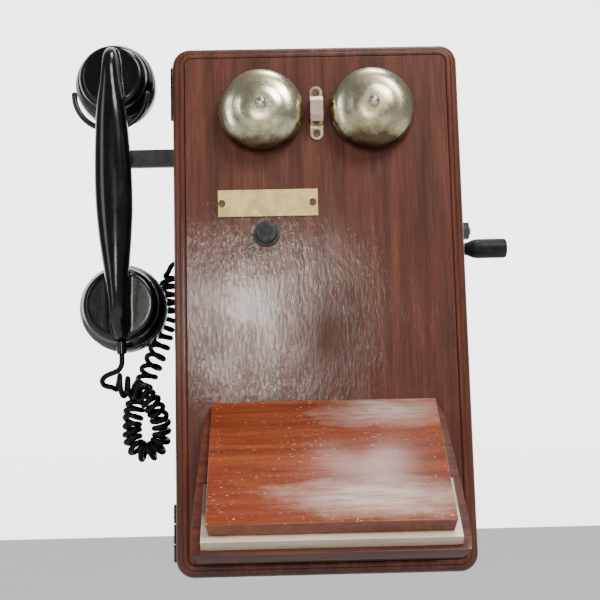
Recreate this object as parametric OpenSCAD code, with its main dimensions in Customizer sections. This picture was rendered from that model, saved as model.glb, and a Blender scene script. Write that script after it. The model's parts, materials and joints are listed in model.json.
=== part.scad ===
// Wall crank telephone: wooden magneto set with a hinged moulded door, two gongs,
// a calling push button, a sloping writing shelf, a side crank and a handset on a
// switch hook.  Origin: centre of the back face on the wall, +Z up, front is -Y.

/* [Case] */
// Width of the door over its moulded edge
door_w = 215; // [205:1:225]
// Height of the door over its moulded edge
door_h = 391; // [380:1:405]
// Thickness of the door
door_t = 18; // [16:1:20]
// Depth of the box behind the door
box_d = 95.7; // [94:0.1:97]
// Thickness of the box sides
side_t = 10; // [8:1:10]
// Corner radius of the door
door_r = 13; // [8:1:18]

/* [Bells] */
// Diameter of each gong
gong_d = 63; // [58:0.5:63]
// Half the distance between the gong centres
gong_x = 41.2; // [41:0.1:43]
// Height of the gong centres above the origin
gong_z = 142.3; // [140:0.1:144]

/* [Shelf] */
// Width of the writing board
shelf_w = 162; // [140:1:170]

/* [Crank] */
// Diameter of the crank grip
grip_d = 15.6; // [12:0.2:18]
// Length of the crank grip
grip_l = 27; // [22:1:30]

/* [Handset] */
// Diameter of the receiver cap
ear_d = 62.4; // [60:0.1:63]
// Diameter of the transmitter cap
mouth_d = 66.2; // [64:0.1:67]

/* [Hidden] */
$fn = 64;
box_w = door_w - 8;
box_h = door_h - 8;
board_t = 9;
yb = -box_d;                 // front of the box
yd = -96;                    // back of the door
yf = yd - door_t;            // front of the door
xi = box_w/2 - side_t;       // inside of the sides
zi = box_h/2 - side_t;

hinge_x = -box_w/2 - 3.9;
hinge_y = -92.8;
hinge_z = 165;

shaft_y = -66; shaft_z = 60; // crank shaft
arm_y = -42;  arm_z = 42;    // armature spindle
grip_y = -31; grip_z = 52.6; // crank grip

hook_px = -85; hook_y = -78; hook_pz = 119.2;
fork_x = -158.2; fork_z = 171.3; fork_r = 27.9;

bell_pz = 106;               // clapper pivot height
btn_x = -38.7; btn_z = 50.7;
plate_x = -37.3; plate_z = 74;

// curly cord, outer shape: axis points from the case to the handset
coil_d = 16;
wire_d = 4.2;
coil_route = [[-118,-30,38],[-118,-30,30],[-118,-30,22],[-119,-30,10],[-122,-31,-8],[-128,-35,-28],
              [-135,-41,-46],[-141,-46,-61],[-145,-49,-77],[-145.2,-50,-93],[-142,-50,-101],[-134.2,-50,-104.5],
              [-126.4,-50,-101],[-123.2,-50,-93],[-123.5,-52,-82],[-128.5,-58,-69],[-136,-63,-60],[-146,-65.5,-55],
              [-151.5,-65.5,-55],[-157,-65.5,-55]];
lead_a = concat([[-108,-30,46],[-110,-30,46]], [for (a=[0:15:90]) [-112-6*sin(a),-30,40+6*cos(a)]], [[-118,-30,38]]);
lead_b = [[-157,-65.5,-55],[-159.5,-65.5,-55],[-162,-65.5,-55],[-165.2,-67,-53.5],[-165.8,-69.8,-50.4],[-163,-72.4,-47.6],[-158.6,-75,-46],
          [-154.4,-78,-45],[-151,-80.6,-43.2],[-149.3,-81.8,-40.2],[-149,-82,-37.1],[-149.1,-82,-34.6],[-149.19,-82,-31.98]];
// front view of the shelf's base, right half
base_o = [[81,-74.6],[83.6,-80],[85.2,-85],[86.3,-94],[87.3,-108],[88.7,-125],[90.2,-145],[90.8,-160],[90.4,-171],[88.6,-176.5],[85,-179.6],[80,-180.6]];

// gong outer profile: radius as part of the full radius, height over the rim
gong_o = [[1,0],[1,2.2],[0.985,4.5],[0.955,7],[0.905,9.4],[0.84,11.5],[0.76,13.2],[0.68,14.4],
          [0.61,15.2],[0.54,16.1],[0.46,17.2],[0.36,18.1],[0.25,18.6],[0.12,18.8]];

// handle sections: place along the handle, centre depth, width, depth
handle_s = [[-119,-84,6,6],[-116,-86,10,12],[-110,-89,12,18],[-100,-92,14,23],[-86,-94,15,25],
            [-70,-95,18,25],[-55,-95.6,21.5,24.6],[-40,-96,24.6,24],[-20,-96,27.4,24],[0,-96,28.2,24],
            [20,-96,27.2,24],[38,-96,25.4,24],[52,-96,23.4,24],[66,-95.6,20.5,23.6],[80,-94.6,16.5,23.6],
            [94,-93,14,23],[104,-90,12,19],[110,-87,10,13],[114,-85,6,6]];

function unit(v) = v/norm(v);
function cr(a,b,c,d,t) = 0.5*((2*b)+(c-a)*t+(2*a-5*b+4*c-d)*t*t+(3*b-a-3*c+d)*t*t*t);
function at(P,i) = P[max(0,min(len(P)-1,i))];
function smooth(P,k) = concat([for (i=[0:len(P)-2]) for (j=[0:k-1]) cr(at(P,i-1),P[i],P[i+1],at(P,i+2),j/k)], [P[len(P)-1]]);
function tang(P,i) = unit(at(P,i+1)-at(P,i-1));
function nrm(t) = unit([0,1,0]-t*t[1]);
function ring(p,t,r,s) = let(n=nrm(t), b=cross(t,n)) [for (j=[0:s-1]) p+r*(cos(360*j/s)*n+sin(360*j/s)*b)];
function skin(n,s) = concat([[for (j=[0:s-1]) j]],
    [for (i=[0:n-2]) for (j=[0:s-1]) [(i+1)*s+j,(i+1)*s+(j+1)%s,i*s+(j+1)%s,i*s+j]],
    [[for (j=[s-1:-1:0]) (n-1)*s+j]]);
function sgn(a) = a<0 ? -1 : 1;
function sec(s,m) = [for (j=[0:m-1]) let(a=360*j/m, c=cos(a), q=sin(a))
    [s[2]/2*sgn(c)*pow(abs(c),0.85), s[1]+s[3]/2*sgn(q)*pow(abs(q),0.85), s[0]]];

module tube(P,d,s) { polyhedron([for (i=[0:len(P)-1]) each ring(P[i],tang(P,i),d/2,s)], skin(len(P),s), convexity=10); }
module xcyl(x0,x1,y,z,r) { translate([x0,y,z]) rotate([0,90,0]) cylinder(h=x1-x0,r=r); }
module ycyl(y0,y1,x,z,r) { translate([x,y1,z]) rotate([90,0,0]) cylinder(h=y1-y0,r=r); }
module zcyl(z0,z1,x,y,r) { translate([x,y,z0]) cylinder(h=z1-z0,r=r); }
module box(x0,x1,y0,y1,z0,z1) { translate([x0,y0,z0]) cube([x1-x0,y1-y0,z1-z0]); }
// flat shape drawn in (x,z), running from y0 to y1
module yplate(y0,y1) { translate([0,y1,0]) rotate([90,0,0]) linear_extrude(y1-y0) children(); }
// flat shape drawn in (y,z), running from x0 to x1
module xplate(x0,x1) { translate([x0,0,0]) rotate([90,0,90]) linear_extrude(x1-x0) children(); }
module rrect(w,h,r) {
    square([w-2*r,h],center=true); square([w,h-2*r],center=true);
    for (x=[-1,1],z=[-1,1]) translate([x*(w/2-r),z*(h/2-r)]) circle(r);
}
// turned shape: points are [radius, height above base], base at y, growing toward the front
module turned(x,y,z) { translate([x,y,z]) rotate([90,0,0]) rotate_extrude($fn=96) children(); }
module hs() { translate([-153.3,0,95]) rotate([0,-1.86,0]) children(); }
module slot_screw(x,y,z,r,l,a) {
    difference() {
        union() { ycyl(y-1.5,y,x,z,r); ycyl(y,y+l,x,z,r*0.55); }
        translate([x,y-1.2,z]) rotate([0,a,0]) cube([2*r+1,1,0.8],center=true);
    }
}
module gear2d(n,rr,ra,hr,ha) {
    polygon([for (i=[0:n-1]) for (k=[0:3]) let(a=360*i/n+[-hr,-ha,ha,hr][k], r=[rr,ra,ra,rr][k]) [r*cos(a),r*sin(a)]]);
}

// ---------- box ----------
module backboard() {
    color("saddlebrown") difference() {
        box(-box_w/2,box_w/2,-board_t,0,-box_h/2,box_h/2);
        for (x=[-60,60],z=[-150,150]) ycyl(-board_t-1,1,x,z,2.75);
        ycyl(-board_t-1,1,0,-165,6);
    }
}
module case_left_side() {
    color("saddlebrown") difference() {
        box(-box_w/2,-xi,yb,-board_t,-box_h/2,box_h/2);
        box(-box_w/2-1,-xi+1,-83,-73,110.5,131);
        xcyl(-box_w/2-1,-xi+1,-30,46,6);
    }
}
module case_right_side() {
    color("saddlebrown") difference() {
        box(xi,box_w/2,yb,-board_t,-box_h/2,box_h/2);
        xcyl(xi-1,box_w/2+1,shaft_y,shaft_z,7);
    }
}
module case_ends() {
    color("saddlebrown") for (s=[-1,1])
        translate([0,0,s*(zi+side_t/2)]) box(-xi,xi,yb,-board_t,-side_t/2,side_t/2);
}
module case_hinge_leaves() {
    color("goldenrod") for (s=[-1,1]) translate([0,0,s*hinge_z]) difference() {
        union() {
            box(-box_w/2-1.5,-box_w/2,hinge_y+3.4,hinge_y+16,-20,20);
            for (k=[-1,1]) {
                translate([0,0,k*13.75]) zcyl(-6.25,6.25,hinge_x,hinge_y,2.9);
                translate([0,0,k*13.75]) box(hinge_x,-box_w/2,hinge_y+0.6,hinge_y+3.4,-6.25,6.25);
            }
        }
        zcyl(-30,30,hinge_x,hinge_y,1.5);
    }
}
module hinge_pins() {
    color("goldenrod") for (s=[-1,1]) translate([0,0,s*hinge_z]) { zcyl(-20,20,hinge_x,hinge_y,1.5); zcyl(20,21.2,hinge_x,hinge_y,2.6); }
}
module door_catch() {
    color("goldenrod") xplate(xi-14,xi) union() {
        translate([-88,-4.4]) square([14,1.2]);
        translate([-88,3.2]) square([14,1.2]);
        translate([-74,-4.4]) square([1.2,8.8]);
    }
}
// ---------- magneto ----------
module magneto_end_plates() {
    color("goldenrod") for (x=[14,78]) xplate(x,x+3) difference() {
        polygon([[-board_t,18],[-board_t,64],[-24,69],[-74,69],[-80,63],[-80,50],[-66,26],[-58,18]]);
        translate([shaft_y,shaft_z]) circle(4.05);
        translate([arm_y,arm_z]) circle(3.05);
    }
}
module magneto_magnets() {
    color("dimgray") for (x=[19,40.5,62]) xplate(x,x+14) {
        for (s=[-1,1]) translate([arm_y+s*19-3,6]) square([6,48]);
        translate([arm_y,6]) difference() { circle(22); circle(16); translate([-30,0]) square([60,30]); }
    }
}
module magneto_pole_shoes() {
    color("gray") xplate(17,78) translate([arm_y,arm_z]) difference() {
        translate([-16,-14]) square([32,28]);
        circle(13.4);
        translate([-5,-20]) square([10,40]);
    }
}
module crank_bush() {
    color("goldenrod") difference() {
        union() { xcyl(xi,box_w/2,shaft_y,shaft_z,7); xcyl(box_w/2,box_w/2+1.4,shaft_y,shaft_z,11); }
        xcyl(xi-1,box_w/2+3,shaft_y,shaft_z,4.05);
    }
}
// ---------- switch hook parts in the box ----------
module hook_bracket() {
    color("dimgray") difference() {
        union() {
            box(-xi,-xi+2,-90,-66,104,136);
            for (y=[-88.5,-70]) box(-xi+2,-78,y,y+2.5,111,128);
        }
        box(-xi-1,-xi+3,-83,-73,110.5,131);
        ycyl(-95,-60,hook_px,hook_pz,3);
    }
}
module hook_pivot_pin() { color("silver") { ycyl(-89.5,-66.5,hook_px,hook_pz,3); ycyl(-91,-89.5,hook_px,hook_pz,4.5); } }
module hook_switch_springs() {
    color("silver") {
        box(-62,-42,-58,-board_t,84,104);
        for (z=[86,91,96]) box(-57,-47,-86,-58,z,z+0.8);
    }
}
// ---------- circuit parts ----------
module induction_coil() { color("firebrick") difference() { xcyl(-56,6,-26,-70,13); xcyl(-57,7,-26,-70,6); } }
module coil_spool() {
    color("saddlebrown") { xcyl(-60,10,-26,-70,6); for (x=[-60,6]) box(x,x+4,-43,-board_t,-87,-53); }
}
module line_capacitor() {
    color("silver") { box(34,78,-31,-board_t,-112,-82); for (x=[26,78]) box(x,x+8,-11,-board_t,-104,-90); }
}
module terminal_strip() {
    color("black") difference() {
        box(-66,54,-18,-board_t,-142,-124);
        for (i=[0:5]) ycyl(-19,-8,-56+20*i,-133,2);
    }
}
module terminal_screws() {
    color("goldenrod") for (i=[0:5]) difference() {
        union() { ycyl(-21,-18,-56+20*i,-133,4); ycyl(-18,-board_t,-56+20*i,-133,2); }
        box(-61+20*i,-51+20*i,-22,-20.2,-133.5,-132.5);
    }
}
module cord_gland() {
    color("black") { xcyl(-108,-xi,-30,46,6); xcyl(-box_w/2-2,-box_w/2,-30,46,8.5); }
}
module curly_cord() { color("black") tube(smooth(coil_route,4),coil_d,12); }
module cord_leads() { color("black") { tube(lead_a,wire_d,12); tube(smooth(lead_b,3),wire_d,12); } }

// ---------- door ----------
module door_panel() {
    color("saddlebrown") difference() {
        union() {
            yplate(yf+6,yd) rrect(door_w,door_h,door_r);
            yplate(yf+3.6,yf+6) rrect(door_w-2.4,door_h-2.4,door_r-1.2);
            yplate(yf+1.8,yf+3.6) rrect(door_w-7,door_h-7,door_r-3.5);
            yplate(yf,yf+1.8) rrect(door_w-17,door_h-17,door_r-5);
        }
        yplate(yf-1,yd+1) translate([0,136.5]) square([11.4,5.6],center=true);
        ycyl(yf-1,yd+1,btn_x,btn_z,8.1);
        for (s=[-1,1]) box(hinge_x-6,hinge_x+18,yd-1.5,yd+1,s*hinge_z-20,s*hinge_z+20);
        for (z=[126,157.5]) ycyl(yf-1,yf+9,0,z,1.54);
        for (x=[-34,33]) ycyl(yf-1,yf+9,plate_x+x,plate_z,1.43);
        for (s=[-1,1]) ycyl(yf-1,yd+1,s*gong_x,gong_z,3);
    }
}
module door_hinge_leaves() {
    color("goldenrod") for (s=[-1,1]) translate([0,0,s*hinge_z]) difference() {
        union() {
            box(-door_w/2,hinge_x+18,yd-1.5,yd,-20,20);
            zcyl(-7,7,hinge_x,hinge_y,2.9);
            box(hinge_x-2,hinge_x+2,yd,hinge_y,-7,7);
        }
        zcyl(-30,30,hinge_x,hinge_y,1.55);
    }
}
module catch_stud() { color("goldenrod") { ycyl(yd,-77,86,0,2.2); ycyl(-80,-77,86,0,2.9); } }
module gong(s) {
    r = gong_d/2; n = len(gong_o);
    color("silver") turned(s*gong_x,yf-6,gong_z) polygon(concat(
        [for (p=gong_o) [r*p[0],p[1]]], [[2.5,18.8],[2.5,17.2]],
        [for (i=[n-1:-1:0]) [max(2.6,r*gong_o[i][0]-1.5), max(0,gong_o[i][1]-(i>2 ? 1.4 : 0))]]));
}
module gong_left() { gong(-1); }
module gong_right() { gong(1); }
module gong_posts() {
    color("goldenrod") for (s=[-1,1]) {
        turned(s*gong_x,yf,gong_z) polygon([[0,0],[9,0],[9,1.5],[5.5,2.5],[5.5,23.2],[2.5,23.2],[2.5,28],[0,28]]);
        ycyl(yf,yd,s*gong_x,gong_z,3);
        ycyl(yd,yd+3,s*gong_x,gong_z,6);
    }
}
module gong_nuts() {
    color("silver") for (s=[-1,1]) difference() {
        union() {
            translate([s*gong_x,yf-24.8,gong_z]) rotate([90,0,0]) cylinder(h=3.2,r=4.6,$fn=6);
            turned(s*gong_x,yf-28,gong_z) polygon([[0,0],[3.9,0],[3.6,1.2],[2.7,2.2],[1.4,2.8],[0,3]]);
        }
        ycyl(yf-28,yf-20,s*gong_x,gong_z,2.5);
    }
}
module clapper_guard() {
    color("silver") difference() {
        intersection() {
            xplate(-4.7,4.7) polygon([[yf,121.3],[yf,132.8],[yf-9.6,134.3],[yf-12.6,137.5],[yf-12.6,147],[yf-9.6,150.2],[yf,151.6],[yf,162.3],
                [yf-1.4,162.3],[yf-1.4,153],[yf-10.4,151.6],[yf-14,148],[yf-14,136.5],[yf-10.4,132.9],[yf-1.4,131.4],[yf-1.4,121.3]]);
            yplate(yf-15,yf+1) translate([0,141.8]) rrect(9.4,41,4.6);
        }
        for (z=[126,157.5]) ycyl(yf-3,yf+1,0,z,1.54);
    }
}
module nameplate() {
    color("khaki") difference() {
        box(plate_x-36.75,plate_x+36.75,yf-1.2,yf,plate_z-10,plate_z+10);
        for (x=[-34,33]) ycyl(yf-3,yf+1,plate_x+x,plate_z,1.43);
    }
}
module front_screws() {
    color("goldenrod") {
        for (z=[126,157.5]) slot_screw(0,yf-1.4,z,2.8,9,z/3);
        for (x=[-34,33]) slot_screw(plate_x+x,yf-1.2,plate_z,2.6,8,x);
    }
}
module button_collar() {
    color("black") difference() {
        turned(btn_x,yf,btn_z) polygon([[7.9,0],[9.4,0],[9.4,3],[8.6,4.2],[7.9,4.2]]);
        ycyl(yf-9,yf+1,btn_x,btn_z,7.9);
    }
}
module button_switch_base() {
    color("black") difference() {
        ycyl(yd,-80,btn_x,btn_z,14);
        ycyl(yd-1,-83,btn_x,btn_z,9);
    }
}
module ringer_frame() {
    color("dimgray") {
        difference() {
            box(-26,26,yd,-93.5,72,122);
            ycyl(-100,-90,0,bell_pz,1.5);
        }
        box(-26,26,-93.5,-66,72,76);
        difference() {
            box(-6,6,-66,-64,72,113);
            ycyl(-70,-60,0,bell_pz,1.5);
        }
    }
}
module ringer_coils() {
    color("firebrick") for (s=[-1,1]) { zcyl(76,98,s*14,-80,9); zcyl(98,100.5,s*14,-80,4); }
}
module ringer_magnet() { color("dimgray") box(-8,8,-64,-59,72,100); }
module clapper_pivot_pin() { color("silver") ycyl(-95.5,-62,0,bell_pz,1.5); }

// ---------- writing shelf: board and middle layer between the rails of the base ----------
middle_s = [[yf,-87],[-197.4,-166.8],[-192.4,-172],[yf,-97]];
module shelf_board() {
    color("sienna") xplate(-shelf_w/2,shelf_w/2) polygon([[yf,-72.3],[-201,-155.6],[-193.7,-163.2],[yf,-87]]);
}
module shelf_middle_layer() {
    color("sienna") xplate(-shelf_w/2-3.4,shelf_w/2+3.4) polygon(middle_s);
}
module shelf_base_layer() {
    color("saddlebrown") difference() {
        intersection() {
            xplate(-shelf_w/2-10,shelf_w/2+10) polygon([[yf,-75],[-195.3,-174.8],[-190.3,-180],[yf,-107]]);
            yplate(-200,yf) polygon(concat(base_o, [for (i=[len(base_o)-1:-1:0]) [-base_o[i][0],base_o[i][1]]]));
        }
        xplate(-shelf_w/2-3.5,shelf_w/2+3.5) polygon(middle_s);
        xplate(-shelf_w/2-0.3,shelf_w/2+0.3) polygon([[yf+1,-60],[yf+1,-96.04],[-213,-191.7],[-213,-60]]);
    }
}
module shelf_support() {
    color("saddlebrown") xplate(-shelf_w/2+2,shelf_w/2-2) polygon([[yf,-107.1],[-178,-168.4],[-178,-180.8],[yf,-184.5]]);
}
// ---------- ringer movement ----------
module ringer_armature() {
    color("gray") difference() {
        union() { box(-18,18,-84,-76,104,108); ycyl(-86,-72,0,bell_pz,4); }
        ycyl(-100,-60,0,bell_pz,1.55);
    }
}
module clapper_rod() {
    color("goldenrod") {
        difference() {
            union() {
                ycyl(-90.5,-86,0,bell_pz,4);
                zcyl(bell_pz,136.5,0,-88.5,1.25);
            }
            ycyl(-100,-60,0,bell_pz,1.55);
        }
        translate([0,-88.5,136.5]) sphere(1.25,$fn=24);
        ycyl(-121.5,-88.5,0,136.5,1.25);
        translate([0,-121.5,136.5]) sphere(1.25,$fn=24);
        zcyl(136.5,140,0,-121.5,1.25);
        translate([0,-121.5,gong_z]) sphere(4.5,$fn=48);
    }
}
module button_cap() {
    color("dimgray") {
        turned(btn_x,-100,btn_z) polygon([[0,0],[7.6,0],[7.6,25.2],[6.9,26],[0,26]]);
        ycyl(-100,-88,btn_x,btn_z,3);
        ycyl(-95.7,-94.5,btn_x,btn_z,8.6);
    }
}
module button_spring() {
    color("silver") turned(btn_x,-86.4,btn_z) polygon([[3.4,0],[4.6,0],[4.6,8.1],[3.4,8.1]]);
}
// ---------- crank ----------
module crank_shaft() {
    color("silver") {
        xcyl(11,113,shaft_y,shaft_z,4);
        xcyl(105.3,109,shaft_y,shaft_z,6);
        xcyl(113,119,shaft_y,shaft_z,2.9);
    }
}
module drive_gear() {
    color("goldenrod") xplate(82.5,87.5) translate([shaft_y,shaft_z]) difference() {
        rotate(-36.87) gear2d(32,22.6,25.1,3.1,1.2);
        circle(4);
        for (i=[0:4]) rotate(72*i) translate([13,0]) circle(4.2);
    }
}
module crank_arm() {
    color("dimgray") {
        xcyl(113,119.2,grip_y,grip_z,4);
        xcyl(119.2,122.2+grip_l,grip_y,grip_z,2.5);
        xcyl(122.2+grip_l,124.4+grip_l,grip_y,grip_z,4);
    }
    color("dimgray") difference() {
        xplate(109,113) difference() {
            union() {
                translate([shaft_y,shaft_z]) circle(8);
                translate([grip_y,grip_z]) circle(6.5);
                polygon([[shaft_y-1.5,shaft_z-7.8],[shaft_y+1.5,shaft_z+7.8],[grip_y+1.2,grip_z+6.3],[grip_y-1.2,grip_z-6.3]]);
            }
            translate([shaft_y,shaft_z]) circle(4);
        }
    }
}
module crank_nut() {
    color("dimgray") xplate(113,117.5) translate([shaft_y,shaft_z]) difference() { circle(7,$fn=6); circle(2.9); }
}
module crank_grip() {
    color("black") difference() {
        translate([119.5,grip_y,grip_z]) rotate([0,90,0]) rotate_extrude($fn=64)
            polygon([[2.55,0],[5,0],[5.2,1.6],[grip_d/2-0.4,7.2],[grip_d/2,9],[grip_d/2,grip_l+5],[grip_d/2-0.9,grip_l+6.4],[4.4,grip_l+6.6],[4.4,grip_l+2.4],[2.55,grip_l+2.4]]);
        xcyl(110,115+grip_l,grip_y,grip_z,2.55);
    }
}
// ---------- generator armature ----------
module armature_shuttle() {
    color("dimgray") {
        xplate(20,75) translate([arm_y,arm_z]) difference() {
            circle(13);
            for (s=[-1,1]) translate([s*9.5-5,-5]) square([10,10]);
        }
        xcyl(9,20,arm_y,arm_z,3);
        xcyl(75,90,arm_y,arm_z,3);
    }
}
module armature_pinion() {
    color("goldenrod") xplate(82.5,87.5) translate([arm_y,arm_z]) difference() {
        rotate(165.63) gear2d(8,4.6,7.1,15,5);
        circle(3);
    }
}
// ---------- switch hook ----------
module hook_lever() {
    color("black") difference() {
        yplate(hook_y-2,hook_y+2) polygon([[-50,115],[-50,124],[-72,126],[-146,126],[-150,129],[-151,134],[-153,143.4],
            [-163.4,143.4],[-164,133],[-162,121],[-155.5,114],[-147,112.4],[-72,112.4]]);
        ycyl(hook_y-5,hook_y+5,hook_px,hook_pz,3.05);
    }
}
module hook_fork() {
    color("black") translate([fork_x,hook_y,fork_z]) {
        rotate([90,0,0]) rotate([0,0,180]) rotate_extrude(angle=180,$fn=96) translate([fork_r,0]) circle(2.2,$fn=32);
        for (s=[-1,1]) translate([s*fork_r,0,0]) sphere(2.4,$fn=32);
    }
}
// ---------- handset ----------
module ear_cup(z,r,c,k) {
    turned(0,-56,z) polygon([[0,0],[r-3.6,0],[r-3.6,11.3],[r-0.3,11.3],[r-0.9,14],[r-2.6,17],[c,19.4],[c-0.1,24.6],[c-1.5,27.4],[k,30],[0,30]]);
}
module handset_handle() {
    color("black") hs() difference() {
        union() {
            polyhedron([for (s=handle_s) each sec(s,24)], skin(len(handle_s),24), convexity=6);
            ear_cup(89.4,ear_d/2,26.1,21.6);
            ear_cup(-89.4,mouth_d/2,28.9,24.6);
        }
        ycyl(-76,-55,0,89.4,ear_d/2-7);
        ycyl(-76,-55,0,-89.4,mouth_d/2-7);
    }
}
module cap(z,r,d,holes) {
    difference() {
        turned(0,-67+d,z) polygon([[0,4],[r*0.62,3.6],[r*0.80,0.6],[r*0.88,0],[r-1.6,2],[r,5],[r,d],[r-3.6,d],[r-3.6,9],[0,9]]);
        for (i=[0:holes-1]) rotate([0,0,0]) ycyl(-67,-30,r*0.3*cos(360*i/holes),z+r*0.3*sin(360*i/holes),1.4);
        ycyl(-67,-30,0,z,1.4);
    }
}
module receiver_cap() { color("black") hs() cap(89.4,ear_d/2,22,6); }
module transmitter_cap() { color("black") hs() cap(-89.4,mouth_d/2,25,8); }
module handset_capsules() {
    color("silver") hs() {
        ycyl(-76,-56,0,89.4,ear_d/2-8); ycyl(-56,-54.2,0,89.4,ear_d/2-4);
        ycyl(-76,-56,0,-89.4,mouth_d/2-8); ycyl(-56,-51.2,0,-89.4,mouth_d/2-4);
    }
}
module handset_cord_gland() { color("black") hs() zcyl(-127,-118.2,0,-82,3.6); }

backboard();
case_left_side();
case_right_side();
case_ends();
case_hinge_leaves();
hinge_pins();
door_catch();
magneto_end_plates();
magneto_magnets();
magneto_pole_shoes();
crank_bush();
hook_bracket();
hook_pivot_pin();
hook_switch_springs();
induction_coil();
coil_spool();
line_capacitor();
terminal_strip();
terminal_screws();
cord_gland();
curly_cord();
cord_leads();
door_panel();
door_hinge_leaves();
catch_stud();
gong_left();
gong_right();
gong_posts();
gong_nuts();
clapper_guard();
nameplate();
front_screws();
button_collar();
button_switch_base();
ringer_frame();
ringer_coils();
ringer_magnet();
clapper_pivot_pin();
shelf_board();
shelf_middle_layer();
shelf_base_layer();
shelf_support();
ringer_armature();
clapper_rod();
button_cap();
button_spring();
crank_shaft();
drive_gear();
crank_arm();
crank_nut();
crank_grip();
armature_shuttle();
armature_pinion();
hook_lever();
hook_fork();
handset_handle();
receiver_cap();
transmitter_cap();
handset_capsules();
handset_cord_gland();
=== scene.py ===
import bpy, bmesh, math, json
import numpy as np
from mathutils import Vector, Matrix, noise
from mathutils.geometry import tessellate_polygon


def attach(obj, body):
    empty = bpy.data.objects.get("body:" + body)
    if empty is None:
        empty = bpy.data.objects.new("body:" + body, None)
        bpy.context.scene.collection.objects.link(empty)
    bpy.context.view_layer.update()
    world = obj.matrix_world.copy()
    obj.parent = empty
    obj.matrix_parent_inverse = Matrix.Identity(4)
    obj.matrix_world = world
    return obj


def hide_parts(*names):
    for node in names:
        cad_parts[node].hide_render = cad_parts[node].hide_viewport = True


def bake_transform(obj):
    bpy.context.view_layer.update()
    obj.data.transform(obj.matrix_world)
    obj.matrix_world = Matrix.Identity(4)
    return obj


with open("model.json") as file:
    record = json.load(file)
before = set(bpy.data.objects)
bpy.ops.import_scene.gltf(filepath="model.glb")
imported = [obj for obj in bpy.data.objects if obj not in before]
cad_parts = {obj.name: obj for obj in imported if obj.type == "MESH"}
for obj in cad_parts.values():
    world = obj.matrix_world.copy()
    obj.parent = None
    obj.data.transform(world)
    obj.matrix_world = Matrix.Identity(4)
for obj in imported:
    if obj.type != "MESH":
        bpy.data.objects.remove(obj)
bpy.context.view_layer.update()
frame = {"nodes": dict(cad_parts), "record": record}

N = frame["nodes"]
MM = 0.001
rng = np.random.default_rng(7)

# ------------------------------------------------------------------ camera
def _rot(rx, ry, rz):
    cx, sx, cz, sz = math.cos(rx), math.sin(rx), math.cos(rz), math.sin(rz)
    Rx = np.array([[1, 0, 0], [0, cx, -sx], [0, sx, cx]])
    Rz = np.array([[cz, -sz, 0], [sz, cz, 0], [0, 0, 1]])
    R = Rz @ Rx
    right, fwd, up = R[:, 0], R[:, 1], R[:, 2]
    return math.cos(ry) * right + math.sin(ry) * up, fwd, -math.sin(ry) * right + math.cos(ry) * up

r_, f_, u_ = _rot(*np.radians([8.6176, -1.3638, -1.0549]))
cam_data = bpy.data.cameras.new("camera")
cam_data.sensor_width = 36.0
cam_data.lens = 36.0 * 1196.9 / 600.0
cam_data.clip_start = 0.05
cam_data.clip_end = 30
cam = bpy.data.objects.new("camera", cam_data)
M = Matrix.Identity(4)
for i in range(3):
    M[i][0], M[i][1], M[i][2] = r_[i], u_[i], -f_[i]
C = [-31.3 * MM, -976.0 * MM, -129.4 * MM]
for i in range(3):
    M[i][3] = C[i]
cam.matrix_world = M
bpy.context.scene.collection.objects.link(cam)
bpy.context.scene.camera = cam

# ------------------------------------------------------------------ helpers
def obj_from(name, verts, faces, mat=None, smooth=True, body=None):
    me = bpy.data.meshes.new(name)
    me.from_pydata([tuple(v) for v in verts], [], faces)
    me.validate()
    bm = bmesh.new(); bm.from_mesh(me)
    bmesh.ops.recalc_face_normals(bm, faces=bm.faces)
    bm.to_mesh(me); bm.free()
    me.update()
    o = bpy.data.objects.new(name, me)
    bpy.context.scene.collection.objects.link(o)
    if mat: me.materials.append(mat)
    if smooth:
        for p in me.polygons: p.use_smooth = True
    if body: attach(o, body)
    return o

def shade_angle(o, deg=35):
    me = o.data
    bm = bmesh.new(); bm.from_mesh(me)
    a = math.radians(deg)
    for f in bm.faces: f.smooth = True
    for e in bm.edges:
        if len(e.link_faces) == 2:
            e.smooth = e.calc_face_angle(0) < a
    bm.to_mesh(me); bm.free()

def bevel(o, w, seg=3, ang=32):
    m = o.modifiers.new("edge", "BEVEL")
    m.width = w * MM; m.segments = seg; m.limit_method = "ANGLE"; m.angle_limit = math.radians(ang)
    m.use_clamp_overlap = True
    try: m.harden_normals = False
    except Exception: pass
    return m

def lathe(name, prof, seg=128, axis="y", centre=(0, 0, 0), mat=None, sharp=32):
    """prof: [(r, t)] in mm, t along the axis; closed profile if it starts and ends on the axis or repeats."""
    verts, faces, rings = [], [], []
    cx, cy, cz = centre
    for r, t in prof:
        if r < 1e-6:
            rings.append([len(verts)])
            pts = [(0.0, 0.0)]
        else:
            rings.append(list(range(len(verts), len(verts) + seg)))
            pts = [(r * math.cos(2 * math.pi * k / seg), r * math.sin(2 * math.pi * k / seg)) for k in range(seg)]
        for a, b in pts:
            if axis == "y": p = (cx + a, cy + t, cz + b)
            elif axis == "x": p = (cx + t, cy + a, cz + b)
            else: p = (cx + a, cy + b, cz + t)
            verts.append([q * MM for q in p])
    for A, B in zip(rings, rings[1:]):
        if len(A) == 1 and len(B) == 1: continue
        for k in range(seg):
            k2 = (k + 1) % seg
            if len(A) == 1: faces.append((A[0], B[k2], B[k]))
            elif len(B) == 1: faces.append((A[k], A[k2], B[0]))
            else: faces.append((A[k], A[k2], B[k2], B[k]))
    o = obj_from(name, verts, faces, mat)
    shade_angle(o, sharp)
    return o

def arc(cx, cy, r, a0, a1, n):
    return [(cx + r * math.cos(math.radians(a0 + (a1 - a0) * i / n)), cy + r * math.sin(math.radians(a0 + (a1 - a0) * i / n))) for i in range(n + 1)]

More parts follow.
